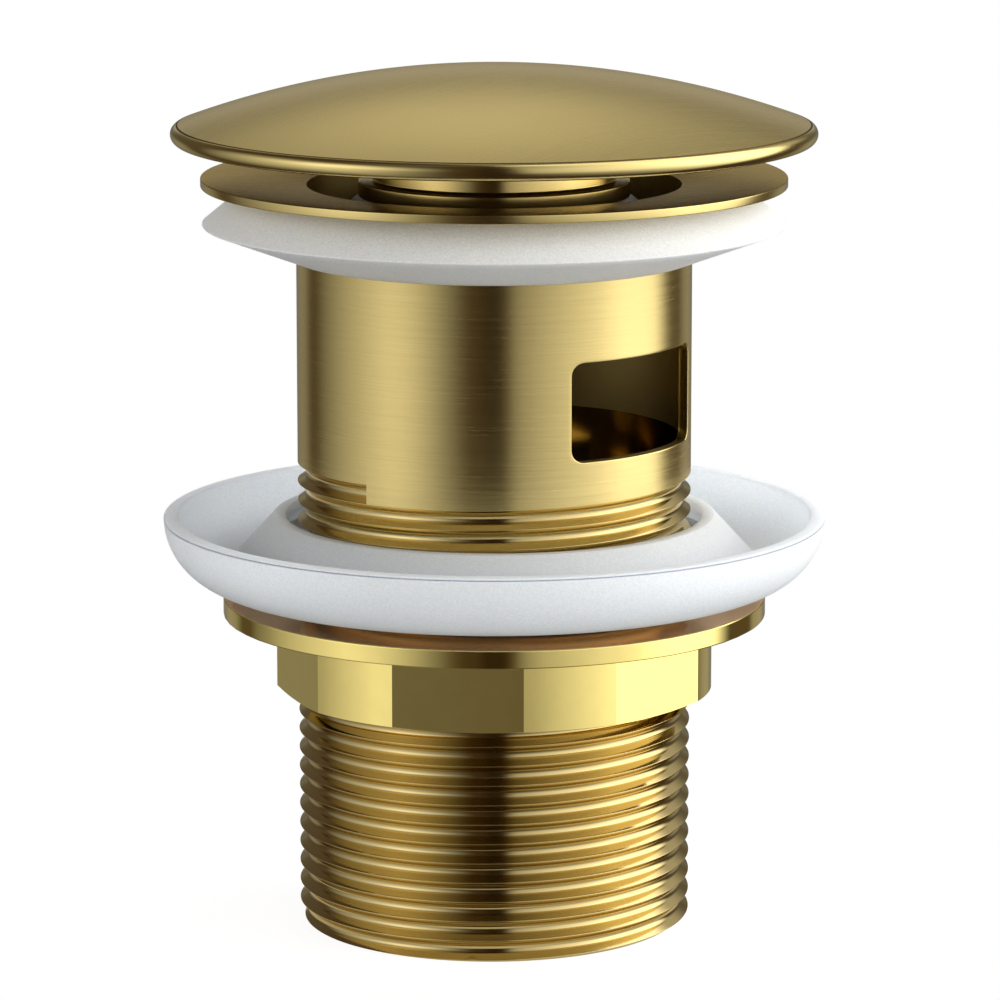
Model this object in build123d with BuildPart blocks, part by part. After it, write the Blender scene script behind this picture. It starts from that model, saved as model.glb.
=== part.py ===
"""Pop up basin waste: slotted body, two sealing washers, backnut, plug and click cartridge.

Millimetres. The axis is Z, Z = 0 is the lower end of the threaded body, and the front is -Y.
The plug is modelled shut, with its seal inside the mouth of the bore.
"""
import os
from math import asin, cos, degrees, hypot, pi, radians, sin, sqrt

from build123d import *

os.makedirs("parts", exist_ok=True)

# Body: flange, tube and overflow slots
thread_diameter = 41.91
tube_wall = 1.155
body_height = 80.09
flange_diameter = 62.0
flange_thickness = 0.96
flange_edge_break = 0.15
mouth_chamfer = 0.3
thread_pitch = 2.08
thread_depth = 0.68
thread_length = 47.84
thread_end_chamfer = 0.23
slot_width = 19.2
slot_height = 10.4
slot_bottom = 52.7
slot_corner = 1.3
slot_count = 2
slot_azimuth = 49.8

# Clearances
running_clearance = 0.05
axial_clearance = 0.2
seal_clearance = 0.1
thread_clearance = 0.045
seat_clearance = 0.05

# Tapered washer under the flange
upper_washer_diameter = 62.0
upper_washer_top_diameter = 51.7
upper_washer_height = 7.6
upper_washer_ridge_drop = 4.0
upper_washer_crown = 0.35
upper_washer_foot = 0.35

# Bowl-shaped washer
cup_diameter = 70.5
cup_wall = 1.65
cup_depth = 7.1
cup_rim_land = 0.15
cup_lip_clearance = 1.245
cup_lip_width = 1.25
cup_cone_foot_offset = 0.45
cup_keel_land = 0.22
cup_web_thickness = 1.0
cup_web_depth = 2.7
cup_above_nut = 1.56

# Backnut
nut_bottom = 24.9
nut_height = 10.19
nut_flange_diameter = 57.98
nut_flange_thickness = 1.93
nut_flat_wall = 1.295
nut_corner_rise = 1.05
nut_corner_chamfer = 0.9
nut_azimuth = -9.7
nut_edge_break = 0.12

# Domed cover
cap_diameter = 68.24
cap_radius_of_dome = 97.1
cap_wall = 1.2
cap_bead_radius = 0.93
cap_lip_width = 1.9
cap_gap_shut = 3.67

# Core of the plug
collar_diameter = 25.6
disc_diameter = 28.7
disc_thickness = 1.7
disc_drop = 0.39
disc_edge_break = 0.12
spigot_diameter = 16.0

# Seal and its fastening
seal_thickness = 2.0
seal_reach = 3.9
seal_lip_height = 0.6
retainer_diameter = 26.4
retainer_thickness = 1.4
retainer_nut_flats = 22.0
retainer_nut_height = 3.2
spigot_tail = 0.4

# Stem
stem_diameter = 8.0
stem_engagement = 11.0
stem_tip_room = 2.0
oring_section = 1.36
locknut_flats = 13.0
locknut_height = 3.0

# Click cartridge
cartridge_headroom = 0.25
hub_length = 10.0
hub_diameter = 21.0
arm_count = 3
arm_width = 3.0
arm_height = 6.0
arm_azimuth = 90.0
spider_ring_wall = 2.0
housing_diameter = 15.6
housing_wall = 0.8
housing_below_hub = 20.0
housing_collar_flats = 18.0
housing_collar_height = 2.0
spring_bore_diameter = 11.2
plug_travel = 8.0
over_press = 1.2
lug_count = 4
lug_width = 1.6
lug_height = 3.0
lug_reach = 0.1
lug_from_land = 25.9
land_width = 1.2
track_bore_diameter = 9.8
track_wall = 0.7
key_width = 1.6
key_height = 3.0
rotor_diameter = 9.2
rotor_collar = 1.0
rotor_spigot_diameter = 5.0
tooth_count = 8
tooth_height = 1.6
bush_length = 3.7
bush_flange = 0.8
cartridge_nut_flats = 21.0
cartridge_nut_height = 5.0
cartridge_washer_thickness = 1.0
housing_plug_engagement = 3.0
housing_plug_flange = 1.4
driver_slot_width = 1.2
driver_slot_depth = 0.7
spring_wire = 0.9
spring_diameter = 10.0
spring_turns = 5.0
spring_wire_sides = 6

# Sizes that follow
tube_radius = thread_diameter / 2
bore_radius = tube_radius - tube_wall
flange_bottom = body_height - flange_thickness
nut_flat_radius = tube_radius + nut_flat_wall
nut_corner_radius = nut_flat_radius + nut_corner_rise
housing_radius = housing_diameter / 2
track_radius = housing_radius - housing_wall
groove_radius = track_radius - track_wall
land_radius = track_bore_diameter / 2
stem_radius = stem_diameter / 2
spigot_radius = spigot_diameter / 2

disc_top = body_height - disc_drop
disc_bottom = disc_top - disc_thickness
seal_bottom = disc_bottom - seal_thickness
retainer_bottom = seal_bottom - retainer_thickness
retainer_nut_bottom = retainer_bottom - retainer_nut_height
spigot_bottom = retainer_nut_bottom - spigot_tail

bead_radius_out = cap_diameter / 2 - cap_bead_radius
bead_height = body_height + cap_gap_shut + cap_bead_radius
dome_centre = bead_height - sqrt((cap_radius_of_dome - cap_bead_radius) ** 2 - bead_radius_out**2)
dome_inner_radius = cap_radius_of_dome - cap_wall

locknut_bottom = spigot_bottom - running_clearance - locknut_height
housing_top = locknut_bottom - over_press - cartridge_headroom - bush_flange
track_top = housing_top - bush_length
key_bottom = track_top - axial_clearance - plug_travel - key_height
narrow_track = key_bottom - axial_clearance - over_press
lug_top = narrow_track - axial_clearance - plug_travel
lug_bottom = lug_top - lug_height
track_shoulder = lug_bottom - over_press - axial_clearance
hub_bottom = lug_bottom - over_press - arm_height / 2
hub_top = hub_bottom + hub_length
housing_bottom = hub_bottom - housing_below_hub
crown_bottom = lug_top + tooth_height + running_clearance + rotor_collar
rotor_bottom = lug_bottom - rotor_collar
rotor_top = crown_bottom - running_clearance
spring_seat = housing_bottom + housing_plug_engagement


def front_direction(azimuth):
    """Unit vector level with the ground, azimuth degrees from the front towards the right."""
    return Vector(sin(radians(azimuth)), -cos(radians(azimuth)), 0)


def radial_plane(azimuth, height):
    """Sketch plane that faces outwards at an azimuth, with its origin on the axis."""
    outwards = front_direction(azimuth)
    sideways = Vector(-outwards.Y, outwards.X, 0)
    return Plane(origin=(0, 0, height), x_dir=sideways, z_dir=outwards)


# Waste body: one turning with its overflow slots milled through the wall. Its thread is drawn as rings,
# crest to crest from the end chamfer upwards, as on a plain drawing of a threaded end
thread_turns = round(thread_length / thread_pitch)
with BuildPart() as waste_body:
    with BuildSketch(Plane.XZ):
        with BuildLine():
            Polyline(
                (bore_radius, 0),
                (tube_radius - thread_end_chamfer, 0),
                *((tube_radius - half % 2 * thread_depth, thread_end_chamfer + half * thread_pitch / 2)
                  for half in range(2 * thread_turns + 1)),
                (tube_radius, flange_bottom),
                (flange_diameter / 2, flange_bottom),
                (flange_diameter / 2, body_height),
                (bore_radius + mouth_chamfer, body_height),
                (bore_radius, body_height - mouth_chamfer),
                close=True,
            )
        make_face()
    revolve(axis=Axis.Z)
    chamfer(waste_body.edges().filter_by(GeomType.CIRCLE).group_by(SortBy.RADIUS)[-1], flange_edge_break)
    for slot in range(slot_count):
        azimuth = slot_azimuth + slot * 360 / slot_count
        with BuildSketch(radial_plane(azimuth, slot_bottom + slot_height / 2)):
            RectangleRounded(slot_width, slot_height, slot_corner)
        extrude(amount=tube_radius + tube_wall, mode=Mode.SUBTRACT)
waste_body.part.label = "waste_body"
export_step(waste_body.part, "parts/waste_body.step")

# Upper washer: a sharp ridge between a crowned upper cone and a shallow lower cone
washer_top = flange_bottom - seat_clearance
washer_bottom = washer_top - upper_washer_height
washer_bore = tube_radius + running_clearance
ridge = (upper_washer_diameter / 2, washer_top - upper_washer_ridge_drop)
shoulder = (upper_washer_top_diameter / 2, washer_top)
with BuildPart() as upper_washer:
    with BuildSketch(Plane.XZ):
        with BuildLine():
            SagittaArc(ridge, shoulder, upper_washer_crown)
            Polyline(
                shoulder,
                (washer_bore, washer_top),
                (washer_bore, washer_bottom),
                (washer_bore + upper_washer_foot, washer_bottom),
                ridge,
            )
        make_face()
    revolve(axis=Axis.Z)
upper_washer.part.label = "upper_washer"
export_step(upper_washer.part, "parts/upper_washer.step")

# Backnut: hexagon with turned corners under a round flange
nut_top = nut_bottom + nut_height
nut_bore = tube_radius + thread_clearance
with BuildPart() as backnut:
    with BuildSketch(Plane.XY.offset(nut_bottom).rotated((0, 0, nut_azimuth))):
        RegularPolygon(nut_flat_radius, 6, major_radius=False, rotation=30)
        Circle(nut_corner_radius, mode=Mode.INTERSECT)
    extrude(amount=nut_height)
    chamfer_base = nut_corner_radius - nut_corner_chamfer
    with BuildSketch(Plane.XZ):
        with BuildLine():
            Polyline(
                (chamfer_base, nut_bottom),
                (2 * nut_corner_radius, nut_bottom),
                (2 * nut_corner_radius, nut_bottom + nut_corner_radius + nut_corner_chamfer),
                close=True,
            )
        make_face()
    revolve(axis=Axis.Z, mode=Mode.SUBTRACT)
    with BuildSketch(Plane.XY.offset(nut_top - nut_flange_thickness)):
        Circle(nut_flange_diameter / 2)
    extrude(amount=nut_flange_thickness)
    chamfer(backnut.edges().filter_by(GeomType.CIRCLE).group_by(SortBy.RADIUS)[-1], nut_edge_break)
    with BuildSketch(Plane.XY.offset(nut_bottom)):
        Circle(nut_bore)
    extrude(amount=nut_height, mode=Mode.SUBTRACT)
backnut.part.label = "backnut"
export_step(backnut.part, "parts/backnut.step")

# Cup washer: quarter-round bowl outside, hollow cone inside, thin web that grips the thread
cup_bottom = nut_top + cup_above_nut
cup_rim = cup_bottom + cup_depth + cup_rim_land
bowl_radius = cup_depth
bowl_centre = (cup_diameter / 2 - bowl_radius, cup_bottom + bowl_radius)
floor_radius = bowl_radius - cup_wall
lip_radius = tube_radius + cup_lip_clearance
cone_top = (lip_radius + cup_lip_width, cup_rim)
foot_angle = asin(cup_cone_foot_offset / floor_radius)
cone_foot = (bowl_centre[0] + cup_cone_foot_offset, bowl_centre[1] - floor_radius * cos(foot_angle))
cone_run = hypot(cone_foot[0] - cone_top[0], cone_foot[1] - cone_top[1])
hollow_top = cone_top[0] - cup_wall * cone_run / (cone_top[1] - cone_foot[1])
hollow_foot = bowl_centre[0] - cup_keel_land
hollow_slope = (hollow_foot - hollow_top) / (cup_rim - cup_bottom)


def under_cone(height):
    """Radius of the hollow under the cone, which runs one wall inside the cone's face."""
    return hollow_top + (cup_rim - height) * hollow_slope


web_top = cup_rim - cup_web_depth
web_bottom = web_top - cup_web_thickness
web_radius = tube_radius + running_clearance
lip_bottom = cup_rim - (lip_radius - hollow_top) / hollow_slope
with BuildPart() as cup_washer:
    with BuildSketch(Plane.XZ):
        with BuildLine():
            rim_outside = (cup_diameter / 2, bowl_centre[1])
            keel = (bowl_centre[0], cup_bottom)
            CenterArc(bowl_centre, bowl_radius, -90, 90)
            Polyline(rim_outside, (rim_outside[0], cup_rim), (rim_outside[0] - cup_wall, cup_rim),
                     (rim_outside[0] - cup_wall, bowl_centre[1]))
            floor_start = -90 + degrees(foot_angle)
            CenterArc(bowl_centre, floor_radius, floor_start, -floor_start)
            Polyline(
                cone_foot,
                cone_top,
                (lip_radius, cup_rim),
                (lip_radius, lip_bottom),
                (under_cone(web_top), web_top),
                (web_radius, web_top),
                (web_radius, web_bottom),
                (under_cone(web_bottom), web_bottom),
                (hollow_foot, cup_bottom),
                keel,
            )
        make_face()
    revolve(axis=Axis.Z)
cup_washer.part.label = "cup_washer"
export_step(cup_washer.part, "parts/cup_washer.step")

# Dome cap: spun cover with a rounded rim
rim_under = bead_height - cap_bead_radius
lip_inside = cap_diameter / 2 - cap_lip_width
tangent_scale = cap_radius_of_dome / (cap_radius_of_dome - cap_bead_radius)
bead_tangent = (
    bead_radius_out * tangent_scale,
    dome_centre + (bead_height - dome_centre) * tangent_scale,
)
dome_half_angle = asin(bead_tangent[0] / cap_radius_of_dome)
inner_half_angle = asin(lip_inside / dome_inner_radius)


def dome_point(radius, angle):
    """Point of a dome surface at an angle from the axis."""
    return (radius * sin(angle), dome_centre + radius * cos(angle))


with BuildPart() as dome_cap:
    with BuildSketch(Plane.XZ):
        with BuildLine():
            crown = dome_point(cap_radius_of_dome, 0)
            ThreePointArc(crown, dome_point(cap_radius_of_dome, dome_half_angle / 2), bead_tangent)
            bead_start = 90 - degrees(dome_half_angle)
            CenterArc((bead_radius_out, bead_height), cap_bead_radius, bead_start, -90 - bead_start)
            inner_edge = dome_point(dome_inner_radius, inner_half_angle)
            inner_crown = dome_point(dome_inner_radius, 0)
            Polyline((bead_radius_out, rim_under), (lip_inside, rim_under), inner_edge)
            ThreePointArc(inner_edge, dome_point(dome_inner_radius, inner_half_angle / 2), inner_crown)
            Line(inner_crown, crown)
        make_face()
    revolve(axis=Axis.Z)
dome_cap.part.label = "dome_cap"
export_step(dome_cap.part, "parts/dome_cap.step")

# Plug core: collar brazed into the dome, disc at flange level, spigot for the seal
collar_radius = collar_diameter / 2
collar_half_angle = asin(collar_radius / dome_inner_radius)
stem_hole = stem_radius + running_clearance
stem_top = spigot_bottom + stem_engagement
oring_seat = stem_radius + running_clearance + oring_section + running_clearance
with BuildPart() as plug_core:
    with BuildSketch(Plane.XZ):
        with BuildLine():
            core_crown = dome_point(dome_inner_radius, 0)
            core_edge = dome_point(dome_inner_radius, collar_half_angle)
            ThreePointArc(core_crown, dome_point(dome_inner_radius, collar_half_angle / 2), core_edge)
            Polyline(
                core_edge,
                (collar_radius, disc_top),
                (disc_diameter / 2, disc_top),
                (disc_diameter / 2, disc_bottom),
                (spigot_radius, disc_bottom),
                (spigot_radius, spigot_bottom),
                (oring_seat, spigot_bottom),
                (oring_seat, spigot_bottom + oring_section + running_clearance),
                (stem_hole, spigot_bottom + oring_section + running_clearance),
                (stem_hole, stem_top + stem_tip_room),
                (0, stem_top + stem_tip_room),
                core_crown,
            )
        make_face()
    revolve(axis=Axis.Z)
    disc_edges = plug_core.edges().filter_by_position(Axis.Z, disc_bottom, disc_top)
    chamfer(disc_edges.filter_by(GeomType.CIRCLE).group_by(SortBy.RADIUS)[-1], disc_edge_break)
plug_core.part.label = "plug_core"
export_step(plug_core.part, "parts/plug_core.step")

# Plug seal: flat washer with a skirt that flares down to the bore
seal_lip_radius = bore_radius - seal_clearance
lip_top = disc_bottom - seal_reach
with BuildPart() as plug_seal:
    with BuildSketch(Plane.XZ):
        with BuildLine():
            Polyline(
                (spigot_radius, disc_bottom),
                (disc_diameter / 2, disc_bottom),
                (seal_lip_radius, lip_top),
                (seal_lip_radius, lip_top - seal_lip_height),
                (retainer_diameter / 2, seal_bottom),
                (spigot_radius, seal_bottom),
                close=True,
            )
        make_face()
    revolve(axis=Axis.Z)
plug_seal.part.label = "plug_seal"
export_step(plug_seal.part, "parts/plug_seal.step")

# Seal retainer
with BuildPart() as seal_retainer:
    with BuildSketch(Plane.XY.offset(retainer_bottom)):
        Circle(retainer_diameter / 2)
        Circle(spigot_radius, mode=Mode.SUBTRACT)
    extrude(amount=retainer_thickness)
    chamfer(seal_retainer.faces().sort_by(Axis.Z)[0].outer_wire().edges(), retainer_thickness / 2)
seal_retainer.part.label = "seal_retainer"
export_step(seal_retainer.part, "parts/seal_retainer.step")


def hexagon_nut(bottom, height, across_flats, bore):
    """Hexagon nut with a plain bore, standing on a height."""
    with BuildPart() as nut:
        with BuildSketch(Plane.XY.offset(bottom)):
            RegularPolygon(across_flats / 2, 6, major_radius=False)
            Circle(bore, mode=Mode.SUBTRACT)
        extrude(amount=height)
    return nut


# Nut on the core's spigot
retainer_nut = hexagon_nut(retainer_nut_bottom, retainer_nut_height, retainer_nut_flats, spigot_radius)
retainer_nut.part.label = "retainer_nut"
export_step(retainer_nut.part, "parts/retainer_nut.step")

# Stem O-ring in the mouth of the core's hole
with BuildPart() as stem_oring:
    with BuildSketch(Plane.XZ):
        with Locations((stem_hole + oring_section / 2, spigot_bottom + oring_section / 2)):
            Circle(oring_section / 2)
    revolve(axis=Axis.Z)
stem_oring.part.label = "stem_oring"
export_step(stem_oring.part, "parts/stem_oring.step")

# Locknut against the underside of the core
height_locknut = hexagon_nut(locknut_bottom, locknut_height, locknut_flats, stem_radius)
height_locknut.part.label = "height_locknut"
export_step(height_locknut.part, "parts/height_locknut.step")

# Plunger: stem, barrel with keys, toothed crown and the rotor's spigot
barrel_radius = rotor_diameter / 2
finger_radius = groove_radius - lug_reach
key_azimuths = [lug_from_land + key * 360 / lug_count for key in range(lug_count)]
tooth_azimuths = [tooth * 360 / tooth_count for tooth in range(tooth_count)]
tooth_half_width = pi * barrel_radius / tooth_count
with BuildPart() as plunger:
    with BuildSketch(Plane.XZ):
        with BuildLine():
            Polyline(
                (0, rotor_bottom),
                (rotor_spigot_diameter / 2, rotor_bottom),
                (rotor_spigot_diameter / 2, crown_bottom),
                (barrel_radius, crown_bottom),
                (barrel_radius, key_bottom + key_height),
                (stem_radius, key_bottom + key_height),
                (stem_radius, stem_top),
                (0, stem_top),
                close=True,
            )
        make_face()
    revolve(axis=Axis.Z)
    for azimuth in key_azimuths:
        with BuildSketch(radial_plane(azimuth, key_bottom + key_height / 2)):
            Rectangle(key_width, key_height)
        extrude(amount=finger_radius)
    for azimuth in tooth_azimuths:
        notch_start = rotor_spigot_diameter / 2 + running_clearance
        with BuildSketch(radial_plane(azimuth, crown_bottom).offset(notch_start)):
            with BuildLine():
                Polyline((-tooth_half_width, 0), (tooth_half_width, 0), (0, tooth_height), close=True)
            make_face()
        extrude(amount=barrel_radius, mode=Mode.SUBTRACT)
plunger.part.label = "plunger"
export_step(plunger.part, "parts/plunger.step")

# Rotor: ring on the plunger's spigot, with lugs in the wide tracks and teeth that face the crown
with BuildPart() as rotor:
    with BuildSketch(Plane.XY.offset(rotor_bottom)):
        Circle(barrel_radius)
        Circle(rotor_spigot_diameter / 2 + running_clearance, mode=Mode.SUBTRACT)
    extrude(amount=rotor_top - rotor_bottom)
    for azimuth in key_azimuths:
        lug_start = (rotor_spigot_diameter / 2 + barrel_radius) / 2
        with BuildSketch(radial_plane(azimuth, lug_bottom + lug_height / 2).offset(lug_start)):
            Rectangle(lug_width, lug_height)
        extrude(amount=finger_radius - lug_start)
    for azimuth in tooth_azimuths:
        with BuildSketch(radial_plane(azimuth, rotor_top)):
            with BuildLine():
                Polyline((-tooth_half_width, 0), (tooth_half_width, 0), (0, -tooth_height), close=True)
            make_face()
        extrude(amount=2 * barrel_radius, mode=Mode.SUBTRACT)
rotor.part.label = "rotor"
export_step(rotor.part, "parts/rotor.step")

# Cam sleeve: wide tracks for the lugs below, narrow tracks for the keys above
with BuildPart() as cam_sleeve:
    with BuildSketch(Plane.XY.offset(track_shoulder)):
        Circle(track_radius)
        Circle(groove_radius, mode=Mode.SUBTRACT)
        for land in range(lug_count):
            outwards = front_direction(land * 360 / lug_count)
            land_middle = (land_radius + track_radius - track_wall / 2) / 2
            land_length = track_radius - track_wall / 2 - land_radius
            with Locations(Location(outwards * land_middle, (0, 0, land * 360 / lug_count - 90))):
                Rectangle(land_length, land_width)
    extrude(amount=narrow_track - track_shoulder)
    with BuildSketch(Plane.XY.offset(narrow_track)):
        Circle(track_radius)
        Circle(land_radius, mode=Mode.SUBTRACT)
    extrude(amount=track_top - narrow_track)
    for azimuth in key_azimuths:
        with BuildSketch(radial_plane(azimuth, (narrow_track + track_top) / 2)):
            Rectangle(key_width + 2 * running_clearance, track_top - narrow_track)
        extrude(amount=groove_radius, mode=Mode.SUBTRACT)
cam_sleeve.part.label = "cam_sleeve"
export_step(cam_sleeve.part, "parts/cam_sleeve.step")

# Cartridge housing: stepped tube with a hexagon collar that seats on the hub
with BuildPart() as cartridge_housing:
    with BuildSketch(Plane.XY.offset(housing_bottom)):
        Circle(housing_radius)
    extrude(amount=housing_top - housing_bottom)
    with BuildSketch(Plane.XY.offset(hub_top)):
        RegularPolygon(housing_collar_flats / 2, 6, major_radius=False)
    extrude(amount=housing_collar_height)
    with BuildSketch(Plane.XY.offset(housing_bottom)):
        Circle(spring_bore_diameter / 2)
    extrude(amount=housing_top - housing_bottom, mode=Mode.SUBTRACT)
    with BuildSketch(Plane.XY.offset(track_shoulder)):
        Circle(track_radius)
    extrude(amount=housing_top - track_shoulder, mode=Mode.SUBTRACT)
cartridge_housing.part.label = "cartridge_housing"
export_step(cartridge_housing.part, "parts/cartridge_housing.step")

# Guide bush pressed into the top of the housing
with BuildPart() as guide_bush:
    with BuildSketch(Plane.XZ):
        with BuildLine():
            Polyline(
                (stem_radius + running_clearance, track_top),
                (track_radius, track_top),
                (track_radius, housing_top),
                (housing_radius, housing_top),
                (housing_radius, housing_top + bush_flange),
                (stem_radius + running_clearance, housing_top + bush_flange),
                close=True,
            )
        make_face()
    revolve(axis=Axis.Z)
guide_bush.part.label = "guide_bush"
export_step(guide_bush.part, "parts/guide_bush.step")

# Return spring, squeezed between the housing plug and the rotor, its wire drawn with six flats
spring_radius = (spring_diameter - spring_wire) / 2
coil_height = rotor_bottom - spring_seat - spring_wire
coil_start = (0, 0, spring_seat + spring_wire / 2)
with BuildPart() as return_spring:
    with BuildLine() as coil:
        Helix(coil_height / spring_turns, coil_height, spring_radius, center=coil_start)
    with BuildSketch(Plane(origin=coil.line @ 0, z_dir=coil.line % 0)):
        RegularPolygon(spring_wire / 2, spring_wire_sides)
    sweep()
return_spring.part.label = "return_spring"
export_step(return_spring.part, "parts/return_spring.step")

# Housing plug with its driver slot
with BuildPart() as housing_plug:
    with BuildSketch(Plane.XY.offset(housing_bottom)):
        Circle(spring_bore_diameter / 2)
    extrude(amount=housing_plug_engagement)
    with BuildSketch(Plane.XY.offset(housing_bottom - housing_plug_flange)):
        Circle(housing_radius)
    extrude(amount=housing_plug_flange)
    with BuildSketch(Plane.XY.offset(housing_bottom - housing_plug_flange)):
        Rectangle(housing_diameter, driver_slot_width)
    extrude(amount=driver_slot_depth, mode=Mode.SUBTRACT)
housing_plug.part.label = "housing_plug"
export_step(housing_plug.part, "parts/housing_plug.step")

# Spider: ring in the bore, arms and the hub that carries the cartridge
hub_radius = hub_diameter / 2
ring_inside = bore_radius - spider_ring_wall
arm_length = (ring_inside + bore_radius) / 2 - (housing_radius + hub_radius) / 2
arm_middle = ((ring_inside + bore_radius) / 2 + (housing_radius + hub_radius) / 2) / 2
with BuildPart() as spider:
    with BuildSketch(Plane.XY.offset(hub_bottom + (hub_length - arm_height) / 2)):
        Circle(bore_radius)
        Circle(ring_inside, mode=Mode.SUBTRACT)
        with PolarLocations(arm_middle, arm_count, start_angle=arm_azimuth):
            Rectangle(arm_length, arm_width)
    extrude(amount=arm_height)
    with BuildSketch(Plane.XY.offset(hub_bottom)):
        Circle(hub_radius)
    extrude(amount=hub_length)
    with BuildSketch(Plane.XY.offset(hub_bottom)):
        Circle(housing_radius)
    extrude(amount=hub_length, mode=Mode.SUBTRACT)
spider.part.label = "spider"
export_step(spider.part, "parts/spider.step")

# Washer and nut that clamp the cartridge to the hub
with BuildPart() as locknut_washer:
    with BuildSketch(Plane.XY.offset(hub_bottom - cartridge_washer_thickness)):
        Circle(hub_radius)
        Circle(housing_radius, mode=Mode.SUBTRACT)
    extrude(amount=cartridge_washer_thickness)
locknut_washer.part.label = "locknut_washer"
export_step(locknut_washer.part, "parts/locknut_washer.step")

cartridge_nut_bottom = hub_bottom - cartridge_washer_thickness - cartridge_nut_height
cartridge_locknut = hexagon_nut(
    cartridge_nut_bottom, cartridge_nut_height, cartridge_nut_flats, housing_radius)
cartridge_locknut.part.label = "cartridge_locknut"
export_step(cartridge_locknut.part, "parts/cartridge_locknut.step")
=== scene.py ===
"""Looks of the pop up basin waste: turned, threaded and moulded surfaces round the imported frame.

Sizes are millimetres up to the moment a mesh is made, angles are degrees from the front towards the right.
"""
from math import asin, cos, degrees, pi, radians, sin, tan

import bmesh
import bpy
import numpy as np
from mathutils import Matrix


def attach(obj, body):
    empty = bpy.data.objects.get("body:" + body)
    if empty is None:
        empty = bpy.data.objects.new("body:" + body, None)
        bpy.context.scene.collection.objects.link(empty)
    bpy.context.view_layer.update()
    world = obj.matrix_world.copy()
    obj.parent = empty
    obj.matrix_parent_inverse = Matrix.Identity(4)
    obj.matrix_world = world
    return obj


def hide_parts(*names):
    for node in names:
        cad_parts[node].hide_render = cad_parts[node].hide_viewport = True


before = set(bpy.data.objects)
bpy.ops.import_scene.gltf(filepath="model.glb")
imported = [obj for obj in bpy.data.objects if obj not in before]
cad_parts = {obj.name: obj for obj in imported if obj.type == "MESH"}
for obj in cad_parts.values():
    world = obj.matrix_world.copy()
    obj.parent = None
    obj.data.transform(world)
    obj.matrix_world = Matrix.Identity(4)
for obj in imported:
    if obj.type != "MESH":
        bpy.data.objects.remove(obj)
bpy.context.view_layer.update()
MILLIMETRE = 0.001

# Sizes of the body
tube_radius, bore_radius = 20.955, 19.8
flange_bottom, flange_top, flange_radius, flange_dish = 79.13, 80.09, 31.0, 0.85
slot_azimuth = 49.8
slot_half_width, slot_bottom, slot_top, slot_corner = 9.6, 52.7, 63.1, 1.3
thread_pitch, thread_flank, crest_rounding, root_rounding = 2.08, radians(57), 0.05, 0.64
thread_depth = ((thread_pitch / 2 - (crest_rounding + root_rounding) * sin(thread_flank)) * tan(thread_flank)
                + (crest_rounding + root_rounding) * (1 - cos(thread_flank)))
thread_turns, thread_end_azimuth, thread_end_root = 24, -39.15, 46.80
tail_top, tail_chamfer, bore_break = 52.3, 0.23, 0.1


# Mesh making
def grid_quads(rows, columns, ring_rows=False, ring_columns=False):
    """Corner numbers of the quads between neighbours of a grid, which may close on itself either way."""
    i = np.arange(rows if ring_rows else rows - 1)[:, None]
    j = np.arange(columns if ring_columns else columns - 1)[None, :]
    here, right = i * columns + j, i * columns + (j + 1) % columns
    up = ((i + 1) % rows) * columns
    return np.stack([here, right, up + (j + 1) % columns, up + j], -1).reshape(-1, 4)


def make_piece(name, patches, body, material, crease=30.0, weld=0.0004):
    """One closed object from grids of points: the grids are put side by side, points nearer than weld are
    merged, faces are turned outwards, and edges sharper than crease are kept hard."""
    points, quads, start = [], [], 0
    for grid, ring_rows, ring_columns in patches:
        rows, columns = grid.shape[:2]
        points.append(grid.reshape(-1, 3))
        quads.append(grid_quads(rows, columns, ring_rows, ring_columns) + start)
        start += rows * columns
    mesh = bpy.data.meshes.new(name)
    mesh.from_pydata(np.concatenate(points) * MILLIMETRE, [], np.concatenate(quads).tolist())
    shape = bmesh.new()
    shape.from_mesh(mesh)
    bmesh.ops.remove_doubles(shape, verts=shape.verts, dist=weld * MILLIMETRE)
    bmesh.ops.dissolve_degenerate(shape, edges=shape.edges, dist=weld * MILLIMETRE)
    bmesh.ops.recalc_face_normals(shape, faces=shape.faces)
    shape.to_mesh(mesh)
    shape.free()
    mesh.shade_smooth()
    mesh.set_sharp_from_angle(angle=radians(crease))
    piece = bpy.data.objects.new(name, mesh)
    bpy.context.scene.collection.objects.link(piece)
    piece.data.materials.append(material)
    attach(piece, body)
    return piece


def finish_faces(piece, material, chosen):
    """Gives another finish to the faces chosen by the radius and height of their middle and by how far they
    face upwards."""
    mesh = piece.data
    middle, facing = np.zeros(len(mesh.polygons) * 3), np.zeros(len(mesh.polygons) * 3)
    mesh.polygons.foreach_get("center", middle)
    mesh.polygons.foreach_get("normal", facing)
    middle, facing = middle.reshape(-1, 3) / MILLIMETRE, facing.reshape(-1, 3)
    index = np.zeros(len(mesh.polygons), np.int32)
    mesh.polygons.foreach_get("material_index", index)
    mesh.materials.append(material)
    index[chosen(np.hypot(middle[:, 0], middle[:, 1]), middle[:, 2], facing[:, 2])] = len(mesh.materials) - 1
    mesh.polygons.foreach_set("material_index", index)


def on_axis(azimuth, radius, height):
    """Points at an azimuth, a radius and a height: x is r sin a, y is -r cos a, and z is the height."""
    a = np.radians(azimuth)
    return np.stack(np.broadcast_arrays(radius * np.sin(a), -radius * np.cos(a), height), -1)


def turned(profile, sides=256, closed=True):
    """A profile of (radius, height) points turned round the axis: each side repeats it at its azimuth."""
    profile = np.asarray(profile, float)
    azimuth = np.linspace(0, 360, sides, endpoint=False)[:, None]
    return on_axis(azimuth, profile[None, :, 0], profile[None, :, 1]), True, closed


def arc(centre, radius, start, end, steps):
    """Points of a circle from one angle to another, measured from the outward direction."""
    a = np.radians(np.linspace(start, end, steps + 1))
    return np.stack([centre[0] + radius * np.cos(a), centre[1] + radius * np.sin(a)], -1)


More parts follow.
